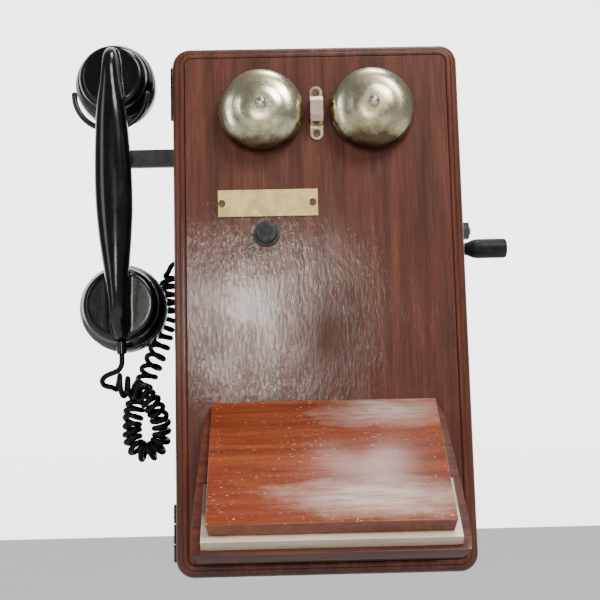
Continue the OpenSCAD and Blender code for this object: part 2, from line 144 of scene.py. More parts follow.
def cr_points(P, k):
    P = np.array(P, float); out = []
    n = len(P)
    for i in range(n - 1):
        a, b, c, d = P[max(0, i - 1)], P[i], P[i + 1], P[min(n - 1, i + 2)]
        for j in range(k):
            t = j / k
            out.append(0.5 * (2 * b + (c - a) * t + (2 * a - 5 * b + 4 * c - d) * t * t + (3 * b - a - 3 * c + d) * t ** 3))
    out.append(P[-1])
    return np.array(out)

def resample(P, step):
    s = np.concatenate([[0], np.cumsum(np.linalg.norm(np.diff(P, axis=0), axis=1))])
    n = max(2, int(round(s[-1] / step)) + 1)
    t = np.linspace(0, s[-1], n)
    return np.stack([np.interp(t, s, P[:, i]) for i in range(3)], 1), t

def frames(P):
    T = np.gradient(P, axis=0); T /= np.linalg.norm(T, axis=1)[:, None]
    n = np.cross(T[0], [0.3, 0.2, 1.0]); n /= np.linalg.norm(n)
    Ns = [n]
    for i in range(1, len(P)):
        n = Ns[-1] - T[i] * np.dot(Ns[-1], T[i]); n /= np.linalg.norm(n); Ns.append(n)
    Ns = np.array(Ns); B = np.cross(T, Ns)
    return T, Ns, B

def tube_mesh(name, P, r, sides, mat=None, cap=True):
    P = np.array(P, float)
    T, Nn, B = frames(P)
    rr = np.full(len(P), r) if np.isscalar(r) else np.array(r)
    verts, faces = [], []
    for i in range(len(P)):
        for j in range(sides):
            a = 2 * math.pi * j / sides
            verts.append((P[i] + rr[i] * (math.cos(a) * Nn[i] + math.sin(a) * B[i])) * MM)
    for i in range(len(P) - 1):
        for j in range(sides):
            j2 = (j + 1) % sides
            faces.append((i * sides + j, i * sides + j2, (i + 1) * sides + j2, (i + 1) * sides + j))
    if cap:
        faces.append(tuple(range(sides))[::-1])
        faces.append(tuple(range((len(P) - 1) * sides, len(P) * sides)))
    return obj_from(name, verts, faces, mat)

# ------------------------------------------------------------------ materials
def new_mat(name):
    m = bpy.data.materials.new(name); m.use_nodes = True
    nt = m.node_tree; nt.nodes.clear()
    out = nt.nodes.new("ShaderNodeOutputMaterial")
    b = nt.nodes.new("ShaderNodeBsdfPrincipled")
    nt.links.new(b.outputs[0], out.inputs[0])
    return m, nt, b

class G:
    """Small node graph helper."""
    def __init__(s, nt): s.nt = nt
    def n(s, t, **k):
        x = s.nt.nodes.new(t)
        for a, v in k.items(): setattr(x, a, v)
        return x
    def link(s, a, b): s.nt.links.new(a, b)
    def coord(s, scale=(1, 1, 1), rot=(0, 0, 0), loc=(0, 0, 0)):
        tc = s.n("ShaderNodeTexCoord"); mp = s.n("ShaderNodeMapping")
        mp.inputs["Scale"].default_value = scale; mp.inputs["Rotation"].default_value = rot; mp.inputs["Location"].default_value = loc
        s.link(tc.outputs["Object"], mp.inputs["Vector"]); return mp.outputs[0]
    def noise(s, vec, scale=5, detail=4, rough=0.55, dist=0.0, out="Fac"):
        x = s.n("ShaderNodeTexNoise"); x.inputs["Scale"].default_value = scale; x.inputs["Detail"].default_value = detail
        x.inputs["Roughness"].default_value = rough; x.inputs["Distortion"].default_value = dist
        s.link(vec, x.inputs["Vector"]); return x.outputs[out]
    def voronoi(s, vec, scale=5, feature="F1", out="Distance", rand=1.0):
        x = s.n("ShaderNodeTexVoronoi"); x.feature = feature; x.inputs["Scale"].default_value = scale
        x.inputs["Randomness"].default_value = rand
        s.link(vec, x.inputs["Vector"]); return x.outputs[out]
    def wave(s, vec, scale=5, dist=2, detail=2, dscale=1.0, direction="X", prof="SIN"):
        x = s.n("ShaderNodeTexWave"); x.bands_direction = direction; x.wave_profile = prof
        x.inputs["Scale"].default_value = scale; x.inputs["Distortion"].default_value = dist
        x.inputs["Detail"].default_value = detail; x.inputs["Detail Scale"].default_value = dscale
        s.link(vec, x.inputs["Vector"]); return x.outputs["Fac"]
    def ramp(s, fac, stops, interp="LINEAR"):
        x = s.n("ShaderNodeValToRGB"); cr = x.color_ramp; cr.interpolation = interp
        while len(cr.elements) < len(stops): cr.elements.new(0.5)
        for e, (p, c) in zip(cr.elements, stops):
            e.position = p
            e.color = (c, c, c, 1) if not hasattr(c, "__len__") else (*c[:3], 1)
        s.link(fac, x.inputs["Fac"]); return x.outputs["Color"]
    def mix(s, fac, a, b, mode="MIX"):
        x = s.n("ShaderNodeMix"); x.data_type = "RGBA"; x.blend_type = mode
        for v, i in ((fac, 0), (a, 6), (b, 7)):
            if hasattr(v, "is_linked") or hasattr(v, "links"): s.link(v, x.inputs[i])
            elif i == 0: x.inputs[0].default_value = v
            else: x.inputs[i].default_value = (*v[:3], 1)
        return x.outputs[2]
    def math(s, op, a, b=0.0, clamp=False):
        x = s.n("ShaderNodeMath"); x.operation = op; x.use_clamp = clamp
        for v, i in ((a, 0), (b, 1)):
            if hasattr(v, "links"): s.link(v, x.inputs[i])
            else: x.inputs[i].default_value = v
        return x.outputs[0]
    def maprange(s, v, a, b, c, d):
        x = s.n("ShaderNodeMapRange"); x.inputs[1].default_value = a; x.inputs[2].default_value = b
        x.inputs[3].default_value = c; x.inputs[4].default_value = d
        s.link(v, x.inputs[0]); return x.outputs[0]
    def bump(s, h, strength=0.3, dist=0.001, normal=None):
        x = s.n("ShaderNodeBump"); x.inputs["Strength"].default_value = strength; x.inputs["Distance"].default_value = dist
        s.link(h, x.inputs["Height"])
        if normal: s.link(normal, x.inputs["Normal"])
        return x.outputs[0]
    def sep(s, vec):
        x = s.n("ShaderNodeSeparateXYZ"); s.link(vec, x.inputs[0]); return x.outputs
    def pointiness(s):
        g = s.n("ShaderNodeNewGeometry"); return g.outputs["Pointiness"]

def srgb(r, g, b):
    f = lambda c: ((c / 255) / 12.92) if c / 255 <= 0.04045 else (((c / 255) + 0.055) / 1.055) ** 2.4
    return (f(r), f(g), f(b))

def wood(name, grain="z", dark=(52, 20, 14), mid=(92, 38, 28), light=(122, 58, 40), sheen=0.0, flecks=0.0, painted_sheen=0.0, rough=0.32, coat=0.5, edge=0.0, dirt=0.35, seed=0.0, bumpy=1.0, haze=0.0, sheen_spots=None, sheen_spot_col=(232, 214, 198), crinkle=0.0, crough=0.2, xdark=0.0):
    m, nt, b = new_mat(name); g = G(nt)
    st = {"z": (9.0, 9.0, 0.55), "x": (0.55, 9.0, 9.0), "y": (9.0, 0.55, 9.0)}[grain]
    v = g.coord(scale=st, loc=(seed, seed * 0.7, seed * 0.3))
    rings = g.noise(v, scale=14, detail=6, rough=0.62, dist=0.35)
    fine_st = {"z": (1, 1, 0.035), "x": (0.035, 1, 1), "y": (1, 0.035, 1)}[grain]
    vf = g.coord(scale=fine_st, loc=(seed, 0, seed))
    pores = g.noise(vf, scale=1500, detail=3, rough=0.6)
    streak = g.noise(vf, scale=420, detail=4, rough=0.6)
    base = g.ramp(rings, [(0.22, srgb(*dark)), (0.5, srgb(*mid)), (0.80, srgb(*light))])
    base = g.mix(g.maprange(streak, 0.35, 0.68, 0.0, 0.6), base, g.mix(0.6, base, srgb(*dark)))
    pm = g.ramp(pores, [(0.30, 1.0), (0.40, 0.0)])
    base = g.mix(g.math("MULTIPLY", pm, 0.75), base, srgb(int(dark[0] * .45), int(dark[1] * .45), int(dark[2] * .45)))
    big = g.noise(g.coord(scale={"z": (1, 1, 0.22), "x": (0.22, 1, 1), "y": (1, 0.22, 1)}[grain], loc=(seed, 2, 1)), scale=13, detail=2)
    base = g.mix(g.maprange(big, 0.42, 0.7, 0.0, dirt), base, srgb(int(dark[0] * .7), int(dark[1] * .7), int(dark[2] * .7)))
    rough_v = g.math("ADD", rough, g.math("MULTIPLY", streak, 0.18))
    if haze > 0:
        # fine vertical crazing that has gone pale
        hz = g.noise(g.coord(scale=(1, 1, 0.05), loc=(1, 0, 3)), scale=700, detail=4, rough=0.7)
        hb = g.noise(g.coord(loc=(4, 1, 0)), scale=14, detail=3)
        base = g.mix(g.math("MULTIPLY", g.math("MULTIPLY", g.maprange(hz, 0.5, 0.72, 0.0, 1.0), g.maprange(hb, 0.35, 0.65, 0.3, 1.0)), haze * 3.0, True), base, srgb(170, 154, 144))
    if painted_sheen > 0:
        oc = g.sep(g.coord())
        # painted highlight: a pale cloudy patch left of the middle, where the window light reflects in the lacquer
        dx = g.math("DIVIDE", g.math("ADD", oc[0], 0.035), 0.075)
        dz = g.math("DIVIDE", g.math("ADD", oc[2], 0.005), 0.085)
        rr = g.math("SQRT", g.math("ADD", g.math("MULTIPLY", dx, dx), g.math("MULTIPLY", dz, dz)))
        blob = g.maprange(rr, 0.15, 1.15, 1.0, 0.0)
        cl = g.noise(g.coord(scale=(1, 1, 0.6)), scale=26, detail=5, rough=0.62)
        crack = g.noise(g.coord(scale=(1, 1, 0.16)), scale=240, detail=4, rough=0.7)
        sheen_mask = g.math("MULTIPLY", g.math("MULTIPLY", blob, g.maprange(cl, 0.36, 0.66, 0.15, 1.0)), g.maprange(crack, 0.38, 0.62, 0.35, 1.0), True)
        base = g.mix(g.math("MULTIPLY", sheen_mask, painted_sheen), base, srgb(178, 164, 150))
        # darker patch near the middle
        dx2 = g.math("DIVIDE", g.math("ADD", oc[0], -0.004), 0.030)
        dz2 = g.math("DIVIDE", g.math("ADD", oc[2], 0.026), 0.046)
        r2 = g.math("SQRT", g.math("ADD", g.math("MULTIPLY", dx2, dx2), g.math("MULTIPLY", dz2, dz2)))
        pn = g.noise(g.coord(), scale=70, detail=4)
        patch = g.math("MULTIPLY", g.maprange(g.math("ADD", r2, g.math("MULTIPLY", pn, 0.7)), 0.45, 1.75, 1.0, 0.0), 0.85, True)
        base = g.mix(g.math("MULTIPLY", patch, 0.7), base, srgb(58, 27, 19))
        rough_v = g.math("ADD", rough_v, g.math("MULTIPLY", sheen_mask, 0.15))
        # the lacquer is still thick left of the middle and thin elsewhere
        cn2 = g.noise(g.coord(scale=(1, 1, 0.5), loc=(6, 2, 0)), scale=30, detail=4, rough=0.6)
        rc = g.math("ADD", rr, g.math("MULTIPLY", g.math("ADD", cn2, -0.5), 1.1))
        coat_v = g.math("MULTIPLY", g.maprange(rc, 0.45, 1.3, coat, 0.08), g.math("SUBTRACT", 1.0, g.math("MULTIPLY", patch, 1.1), True))
    if sheen_spots:
        # painted highlight: pale sheen patches where the overhead light reflects in the lacquer
        oc = g.sep(g.coord())
        st_ = g.noise(g.coord(scale=(0.12, 1, 1), loc=(2, 0, 1)), scale=260, detail=5, rough=0.7)
        cl_ = g.noise(g.coord(scale=(0.4, 1, 1), loc=(5, 3, 1)), scale=48, detail=5, rough=0.65)
        tot = None
        for bx, bz, rx, rz, amt in sheen_spots:
            ax = g.math("DIVIDE", g.math("ADD", oc[0], -bx * MM), rx * MM); az = g.math("DIVIDE", g.math("ADD", oc[2], -bz * MM), rz * MM)
            d_ = g.math("SQRT", g.math("ADD", g.math("MULTIPLY", ax, ax), g.math("MULTIPLY", az, az)))
            d_ = g.math("ADD", d_, g.math("MULTIPLY", g.math("ADD", cl_, -0.5), 1.6))
            t_ = g.math("MULTIPLY", g.maprange(d_, 0.25, 1.15, 1.0, 0.0), amt)
            tot = t_ if tot is None else g.math("MAXIMUM", tot, t_)
        tot = g.math("MULTIPLY", tot, g.maprange(st_, 0.36, 0.62, 0.45, 1.0), True)
        base = g.mix(tot, base, srgb(*sheen_spot_col))
    if flecks > 0:
        fv = g.coord(scale={"z": (1, 1, 0.45), "x": (0.45, 1, 1), "y": (1, 0.45, 1)}[grain], loc=(0.3, seed, 0))
        fl = g.noise(fv, scale=760, detail=2, rough=0.5)
        fm = g.noise(g.coord(), scale=22, detail=2)
        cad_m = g.math("MULTIPLY", g.ramp(fl, [(0.66, 0.0), (0.72, 1.0)]), g.maprange(fm, 0.35, 0.65, 0.25, 1.0))
        base = g.mix(g.math("MULTIPLY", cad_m, flecks), base, srgb(226, 210, 196))
    if edge > 0:
        p = g.pointiness()
        en = g.noise(g.coord(), scale=90, detail=5, rough=0.7)
        em = g.math("MULTIPLY", g.ramp(p, [(0.515, 0.0), (0.60, 1.0)]), g.maprange(en, 0.42, 0.60, 0.0, 1.0))
        # only rounded edges are rubbed, never the flat faces
        tn = g.sep(g.n("ShaderNodeNewGeometry").outputs["True Normal"])
        fy = g.math("ABSOLUTE", tn[1], 0.0)
        em = g.math("MULTIPLY", em, g.maprange(fy, 0.93, 0.985, 1.0, 0.0))
        fs = g.math("ABSOLUTE", g.math("ADD", g.math("MULTIPLY", tn[1], -0.692), g.math("MULTIPLY", tn[2], 0.7225)), 0.0)
        em = g.math("MULTIPLY", em, g.maprange(fs, 0.93, 0.985, 1.0, 0.0))
        base = g.mix(g.math("MULTIPLY", em, edge), base, srgb(176, 104, 62))
    if xdark > 0:
        # the side strips are coloured dark, without the pale painted sheen, except at the lower corners
        sx = g.sep(g.coord())
        base = g.mix(g.math("MULTIPLY", g.maprange(g.math("ABSOLUTE", sx[0], 0.0), xdark, xdark + 0.0008, 0.0, 0.85), g.maprange(sx[2], -0.158, -0.148, 0.0, 1.0)), base, srgb(70, 36, 24))
    # painted shade: faces turned downwards are darkened
    nn = g.n("ShaderNodeNewGeometry"); nz = g.sep(nn.outputs["True Normal"])[2]
    base = g.mix(g.maprange(nz, -0.75, -0.25, 0.7, 0.0), base, srgb(int(dark[0] * .6), int(dark[1] * .6), int(dark[2] * .6)))
    g.link(base, b.inputs["Base Color"])
    g.link(rough_v, b.inputs["Roughness"])
    b.inputs["Specular IOR Level"].default_value = 0.22
    b.inputs["Coat Weight"].default_value = coat
    if painted_sheen > 0:
        g.link(coat_v, b.inputs["Coat Weight"])
    b.inputs["Coat Roughness"].default_value = crough
    h = g.math("ADD", g.math("MULTIPLY", pores, 0.6), g.math("MULTIPLY", streak, 0.5))
    bn = g.bump(h, 0.5 * bumpy, 0.0003)
    un = g.noise(g.coord(scale={"z": (1, 1, 0.3), "x": (0.3, 1, 1), "y": (1, 0.3, 1)}[grain]), scale=60, detail=3)
    bn = g.bump(un, 0.22 * bumpy, 0.0006, bn)
    g.link(bn, b.inputs["Normal"]); 
    cb = g.bump(un, 0.12 * bumpy, 0.0005)
    if crinkle > 0:
        # lacquer drawn up into small upright wrinkles
        k1 = g.noise(g.coord(scale={"z": (1, 1, 0.34), "x": (0.34, 1, 1), "y": (1, 0.34, 1)}[grain], loc=(0, 5, 1)), scale=430, detail=4, rough=0.6, dist=0.4)
        k2 = g.noise(g.coord(loc=(1, 5, 7)), scale=30, detail=3)
        kk = g.math("MULTIPLY", k1, g.maprange(k2, 0.35, 0.62, 0.35, 1.0))
        cb = g.bump(kk, 0.6 * crinkle, 0.0005, cb)
    cn = g.bump(h, 0.14 * bumpy, 0.0002, cb)
    g.link(cn, b.inputs["Coat Normal"])
    return m

def metal(name, col=(170, 165, 150), tarnish=(120, 96, 60), amount=0.5, rough=0.22, scratch=0.3, scale=60, dark=(50, 42, 32), darkamt=0.25, metallic=1.0, low_shade=None, edge=0.0, edgecol=(190, 150, 90)):
    m, nt, b = new_mat(name); g = G(nt)
    v = g.coord()
    n1 = g.noise(v, scale=scale, detail=6, rough=0.65)
    n2 = g.noise(v, scale=scale * 5, detail=5, rough=0.7)
    n3 = g.noise(v, scale=scale * 0.4, detail=3)
    c = g.mix(g.math("MULTIPLY", g.maprange(n1, 0.42, 0.66, 0.0, 1.0), amount), srgb(*col), srgb(*tarnish))
    c = g.mix(g.math("MULTIPLY", g.ramp(n2, [(0.56, 0.0), (0.70, 1.0)]), darkamt), c, srgb(*dark))
    c = g.mix(g.math("MULTIPLY", g.maprange(n3, 0.4, 0.7, 0, 1), 0.25), c, srgb(*dark))
    if edge > 0:
        em = g.ramp(g.pointiness(), [(0.52, 0.0), (0.60, 1.0)])
        c = g.mix(g.math("MULTIPLY", em, edge), c, srgb(*edgecol))
    if low_shade:
        # painted reflection: the lower half of the bell is darkened where it reflects the dark below
        zz = g.sep(v)[2]
        low_shade_mask = g.maprange(zz, (low_shade[0] - low_shade[1]) * MM, (low_shade[0] - low_shade[1] * 0.15) * MM, 1.0, 0.0)
        low_shade_mask = g.math("MULTIPLY", low_shade_mask, g.maprange(n1, 0.3, 0.7, 0.75, 1.15), True)
        c = g.mix(g.ramp(low_shade_mask, [(0.14, 0.0), (0.56, 0.94)]), c, srgb(66, 50, 34))
    g.link(c, b.inputs["Base Color"])
    b.inputs["Metallic"].default_value = metallic
    r = g.math("ADD", rough, g.math("MULTIPLY", g.maprange(n1, 0.35, 0.7, 0, 1), 0.22))
    r = g.math("ADD", r, g.math("MULTIPLY", g.ramp(n2, [(0.5, 0.0), (0.7, 1.0)]), 0.15))
    g.link(r, b.inputs["Roughness"])
    sv = g.coord(scale=(1, 1, 0.06), rot=(0.3, 0.5, 0.2))
    sc = g.noise(sv, scale=900, detail=2)
    hb = g.math("ADD", g.math("MULTIPLY", sc, scratch), g.math("MULTIPLY", n2, 0.5))
    g.link(g.bump(hb, 0.25, 0.0002), b.inputs["Normal"])
    return m

def plastic(name, col=(14, 14, 16), rough=0.12, dust=0.25, coat=0.4, metallic=0.0, scale=120, edge=0.0, edgecol=(80, 78, 76), spec=0.5):
    m, nt, b = new_mat(name); g = G(nt)
    b.inputs["Specular IOR Level"].default_value = spec
    n1 = g.noise(g.coord(), scale=scale, detail=5, rough=0.65)
    n2 = g.noise(g.coord(), scale=scale * 9, detail=3)
    n3 = g.noise(g.coord(scale=(1, 1, 0.25)), scale=scale * 3, detail=4, rough=0.7)
    c = g.mix(g.math("MULTIPLY", g.maprange(n1, 0.45, 0.75, 0, 1), dust), srgb(*col), srgb(min(255, col[0] + 34), min(255, col[1] + 32), min(255, col[2] + 30)))
    if edge > 0:
        em = g.math("MULTIPLY", g.ramp(g.pointiness(), [(0.51, 0.0), (0.58, 1.0)]), g.maprange(n1, 0.35, 0.6, 0.2, 1))
        c = g.mix(g.math("MULTIPLY", em, edge), c, srgb(*edgecol))
    g.link(c, b.inputs["Base Color"])
    b.inputs["Metallic"].default_value = metallic
    r = g.math("ADD", rough, g.math("MULTIPLY", g.maprange(n3, 0.4, 0.75, 0, 1), 0.16))
    g.link(r, b.inputs["Roughness"])
    b.inputs["Coat Weight"].default_value = coat; b.inputs["Coat Roughness"].default_value = 0.06
    g.link(g.bump(n2, 0.12, 0.00015, g.bump(n1, 0.08, 0.0006)), b.inputs["Normal"])
    return m

M_WOOD = wood("mahogany_case", "z", dark=(24, 9, 7), mid=(54, 21, 16), light=(78, 33, 25), painted_sheen=0.0, edge=0.0, dirt=0.2, rough=0.3, coat=0.3)
# painted highlight: the door's pale cloudy patch stands in for the window's reflection
M_DOOR = wood("mahogany_door", "z", dark=(56, 26, 18), mid=(91, 46, 32), light=(122, 70, 51), painted_sheen=0.3, edge=0.0, rough=0.42, coat=0.85, haze=0.035, dirt=0.16, crinkle=1.15, crough=0.1)
# painted highlight: two pale sheen patches stand in for the overhead light's reflection on the board
M_SHELF = wood("mahogany_shelf", "x", dark=(86, 30, 13), mid=(144, 64, 30), light=(182, 98, 54), flecks=0.6, edge=0.85, rough=0.34, coat=0.6, dirt=0.22, seed=0.4, bumpy=0.6, crinkle=0.35,
               sheen_spots=[(46, -80, 52, 12, 0.62), (30, -140, 70, 13, 0.72)])
# painted highlight: the middle layer is coloured pale cream for the overhead light's reflection on its polished margin
M_SHELF2_SHEEN = wood("mahogany_layers_painted_sheen", "x", xdark=0.0812, dark=(196, 170, 140), mid=(236, 218, 194), light=(250, 238, 220), flecks=0.1, edge=0.0, rough=0.28, coat=0.6, seed=0.9, bumpy=0.4, dirt=0.1)
M_SHELF3 = wood("mahogany_base", "x", dark=(50, 22, 16), mid=(98, 46, 34), light=(132, 70, 50), flecks=0.1, edge=0.0, rough=0.32, coat=0.5, seed=0.7, bumpy=0.6, dirt=0.2)
M_CHEEK = wood("mahogany_support", "z", dark=(22, 9, 7), mid=(42, 18, 14), light=(58, 28, 22), edge=0.0, seed=1.3)
M_PINE = wood("plain_wood", "x", dark=(120, 84, 50), mid=(160, 118, 76), light=(190, 150, 104), rough=0.55, coat=0.0, seed=2.0)
M_NICKEL = metal("aged_nickel", col=(196, 190, 172), tarnish=(142, 118, 78), amount=0.65, rough=0.17, scale=55, darkamt=0.55, edge=0.6, edgecol=(150, 112, 60))
# painted reflection: the bell's lower half is darkened
M_GONG = metal("gong_nickel", col=(232, 226, 192), tarnish=(160, 142, 98), amount=0.65, rough=0.17, scale=55, darkamt=0.5, low_shade=(140.0, 34.0))
M_NICKEL2 = metal("nickel_fittings", col=(204, 200, 190), tarnish=(150, 124, 84), amount=0.5, rough=0.2, scale=160, darkamt=0.3, edge=0.3)
M_BRASS = metal("aged_brass", col=(176, 138, 78), tarnish=(112, 84, 44), amount=0.6, rough=0.28, scale=110)
M_PLATE = metal("plate_brass", col=(250, 232, 168), tarnish=(222, 190, 112), amount=0.5, rough=0.36, scale=120, dark=(120, 92, 52), darkamt=0.35, scratch=1.0, edge=0.5, edgecol=(150, 116, 66))
M_SCREW = metal("old_screws", col=(116, 96, 66), tarnish=(70, 52, 34), amount=0.7, rough=0.36, scale=400)
M_STEEL = metal("plain_steel", col=(150, 150, 152), tarnish=(110, 100, 90), amount=0.4, rough=0.32, scale=120)
M_JAPAN = plastic("japanned_black", col=(14, 14, 16), rough=0.26, dust=0.35, coat=0.1, edge=0.4, edgecol=(80, 74, 68), spec=0.4)
M_BAKE = plastic("black_bakelite", col=(6, 6, 7), rough=0.15, dust=0.22, coat=0.08, scale=60, spec=0.34)
M_GRIP = plastic("grip_black", col=(13, 12, 14), rough=0.42, dust=0.4, coat=0.0, scale=200, edge=0.4, spec=0.22)
M_BUTTON = plastic("button_grey_black", col=(36, 36, 39), rough=0.5, dust=0.6, coat=0.0, spec=0.25, scale=260, edge=0.6, edgecol=(120, 118, 116))
# painted shade: the hinge parts are iron coloured near black-brown so they pass for the door's shaded left edge
M_HINGE = plastic("hinge_iron_shade_dark", col=(38, 22, 17), rough=0.45, dust=0.3, coat=0.0, scale=200, spec=0.2)
M_CORD = plastic("cord_rubber", col=(4, 4, 5), rough=0.45, dust=0.15, coat=0.0, scale=200, spec=0.16)
M_WIND = metal("winding", col=(150, 70, 40), tarnish=(96, 36, 20), amount=0.5, rough=0.4, scale=300, metallic=0.4)

# ------------------------------------------------------------------ cord
COIL = [[-118,-30,38],[-118,-30,30],[-118,-30,22],[-119,-30,10],[-122,-31,-8],[-128,-35,-28],
        [-135,-41,-46],[-141,-46,-61],[-145,-49,-77],[-145.2,-50,-93],[-142,-50,-101],[-134.2,-50,-104.5],
        [-126.4,-50,-101],[-123.2,-50,-93],[-123.5,-52,-82],[-128.5,-58,-69],[-136,-63,-60],[-146,-65.5,-55],
        [-151.5,-65.5,-55],[-157,-65.5,-55]]
LEAD_A = [[-108,-30,46],[-110,-30,46]] + [[-112 - 6 * math.sin(math.radians(a)), -30, 40 + 6 * math.cos(math.radians(a))] for a in range(0, 91, 15)] + [[-118,-30,38]]
LEAD_B = [[-157,-65.5,-55],[-159.5,-65.5,-55],[-162,-65.5,-55],[-165.2,-67,-53.5],[-165.8,-69.8,-50.4],[-163,-72.4,-47.6],[-158.6,-75,-46],
          [-154.4,-78,-45],[-151,-80.6,-43.2],[-149.3,-81.8,-40.2],[-149,-82,-37.1],[-149.1,-82,-34.6],[-149.19,-82,-31.98]]
WIRE = 4.1

def u_i(a, L): return a / L

def cord_path():
    axis, s = resample(cr_points(COIL, 24), 0.4)
    for _ in range(30): axis[1:-1] = 0.25 * axis[:-2] + 0.5 * axis[1:-1] + 0.25 * axis[2:]
    T, Nn, B = frames(axis)
    L = s[-1]
    # pitch along the coil: stretched by its own weight high up, tight low down
    u = s / L
    pitch = 5.6 + 3.4 * np.exp(-((u - 0.30) / 0.15) ** 2) + 0.5 * np.sin(u * 21.0) + 0.9 * np.exp(-((u - 0.80) / 0.08) ** 2)
    dens = 1.0 / np.clip(pitch, 4.7, 9.6)
    ph = np.concatenate([[0], np.cumsum(0.5 * (dens[1:] + dens[:-1]) * np.diff(s))])
    turns = ph[-1]
    q = np.linspace(0, turns, int(turns * 40))
    si = np.interp(q, ph, s)
    fade = np.minimum(1, np.minimum(si / 7.0, (L - si) / 3.5))
    R = 6.0 * np.sin(fade * math.pi / 2) ** 0.7 * (1 + 0.38 * np.exp(-((L - si - 4.0) / 4.5) ** 2) + 0.10 * np.exp(-((u_i(si, L) - 0.33) / 0.12) ** 2))
    R = R * (1 + 0.04 * np.sin(q * 0.9) + 0.03 * np.sin(q * 2.3 + 1))
    A = np.stack([np.interp(si, s, axis[:, i]) for i in range(3)], 1)
    Ni = np.stack([np.interp(si, s, Nn[:, i]) for i in range(3)], 1)
    Bi = np.stack([np.interp(si, s, B[:, i]) for i in range(3)], 1)
    Ni /= np.linalg.norm(Ni, axis=1)[:, None]; Bi /= np.linalg.norm(Bi, axis=1)[:, None]
    a = 2 * np.pi * q
    # loose turns lean a little to one side and the other
    lean = 0.9 * np.sin(q * 1.7 + 0.4) + 0.5 * np.sin(q * 0.63)
    Ti = np.stack([np.interp(si, s, T[:, i]) for i in range(3)], 1)
    hel = A + R[:, None] * (np.cos(a)[:, None] * Ni + np.sin(a)[:, None] * Bi) + (lean * np.sin(a) * fade)[:, None] * Ti
    la, _ = resample(cr_points(LEAD_A, 10), 0.5)
    lb, _ = resample(cr_points(LEAD_B, 10), 0.5)
    P = np.concatenate([la[:-3], hel[12:-12], lb[4:]])
    P, _ = resample(P, 0.45)
    n0, n1 = len(la) + 26, len(lb) + 26
    k = np.full(len(P), 0.12); k[8:n0] = 1; k[-n1:-8] = 1; k[:8] = 0; k[-8:] = 0
    for _ in range(26):
        Q = P.copy(); Q[1:-1] = 0.25 * P[:-2] + 0.5 * P[1:-1] + 0.25 * P[2:]
        P = P + (Q - P) * k[:, None]
    P, _ = resample(P, 1.35)
    return P

CP = cord_path()
cord = tube_mesh("curly_cord_wire", CP, WIRE / 2, 10, M_CORD)
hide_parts("curly_cord", "cord_leads")
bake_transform(cord)

# ------------------------------------------------------------------ first pass on CAD nodes
def setmat(node, mat, bev=None, seg=2, ang=32):
    o = N[node]
    o.data.materials.clear(); o.data.materials.append(mat)
    if bev: bevel(o, bev, seg, ang)

for n in ["backboard", "case_left_side", "case_right_side", "case_ends"]: setmat(n, M_WOOD, 0.8, 3)
setmat("shelf_middle_layer", M_SHELF2_SHEEN, 1.5, 4); setmat("shelf_support", M_CHEEK, 0.8, 3)
for n in ["case_hinge_leaves", "hinge_pins", "door_hinge_leaves"]: setmat(n, M_HINGE, 0.25, 2)
for n in ["door_catch", "catch_stud", "crank_bush", "magneto_end_plates", "drive_gear", "armature_pinion"]: setmat(n, M_BRASS, 0.25, 2)
for n in ["gong_posts", "clapper_rod"]: setmat(n, M_BRASS)
for n in ["terminal_screws", "front_screws"]: setmat(n, M_SCREW, 0.15, 2)
setmat("nameplate", M_PLATE, 0.25, 2)
for n in ["gong_nuts", "clapper_guard"]: setmat(n, M_NICKEL2, 0.25, 2)
for n in ["magneto_magnets", "crank_arm", "crank_nut", "ringer_magnet", "hook_bracket", "hook_lever"]: setmat(n, M_JAPAN, 0.4, 2)
setmat("hook_fork", M_JAPAN)
for n in ["magneto_pole_shoes", "hook_pivot_pin", "hook_switch_springs", "ringer_frame", "clapper_pivot_pin", "ringer_armature", "crank_shaft", "armature_shuttle", "button_spring", "handset_capsules", "line_capacitor"]: setmat(n, M_STEEL, 0.3, 2)
for n in ["induction_coil", "ringer_coils"]: setmat(n, M_WIND)
setmat("coil_spool", M_PINE, 0.4, 2)
for n in ["terminal_strip", "cord_gland", "button_switch_base"]: setmat(n, M_BAKE, 0.4, 2)
setmat("handset_cord_gland", M_BAKE)

# ------------------------------------------------------------------ detailed pieces
def body_of(node):
    for b, ns in frame["record"]["behaviour"]["bodies"].items():
        if node in ns: return b

def take(o, slot, *nodes):
    """The piece o replaces the CAD nodes and rides on their body; the slot argument is not used."""
    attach(o, body_of(nodes[0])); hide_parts(*nodes)
    return o

def bake(o):
    """Turn the modifiers of o into its mesh."""
    bpy.context.view_layer.update()
    dg = bpy.context.evaluated_depsgraph_get()
    me = bpy.data.meshes.new_from_object(o.evaluated_get(dg), depsgraph=dg)
    old = o.data; mats = [m for m in old.materials]
    o.modifiers.clear(); o.data = me; me.name = o.name
    me.materials.clear()
    for m in mats: me.materials.append(m)
    bpy.data.meshes.remove(old)
    return o

def cut(o, cutters):
    for c in cutters:
        m = o.modifiers.new("cut", "BOOLEAN"); m.operation = "DIFFERENCE"; m.object = c; m.solver = "EXACT"
    bake(o)
    for c in cutters:
        me = c.data; bpy.data.objects.remove(c); bpy.data.meshes.remove(me)
    return o

def prism(name, pts, t0, t1, axis="y", mat=None):
    """Closed prism: pts in the plane normal to the axis, from t0 to t1, mm."""
    n = len(pts)
    def p(a, b, t): return (a * MM, t * MM, b * MM) if axis == "y" else (t * MM, a * MM, b * MM)
    verts = [p(a, b, t0) for a, b in pts] + [p(a, b, t1) for a, b in pts]
    faces = [tuple(range(n)), tuple(range(n, 2 * n))] + [(i, (i + 1) % n, n + (i + 1) % n, n + i) for i in range(n)]
    return obj_from(name, verts, faces, mat, smooth=False)

def rect(x0, x1, z0, z1): return [(x0, z0), (x1, z0), (x1, z1), (x0, z1)]
def ring_pts(cx, cz, r, n=48): return [(cx + r * math.cos(2 * math.pi * k / n), cz + r * math.sin(2 * math.pi * k / n)) for k in range(n)]

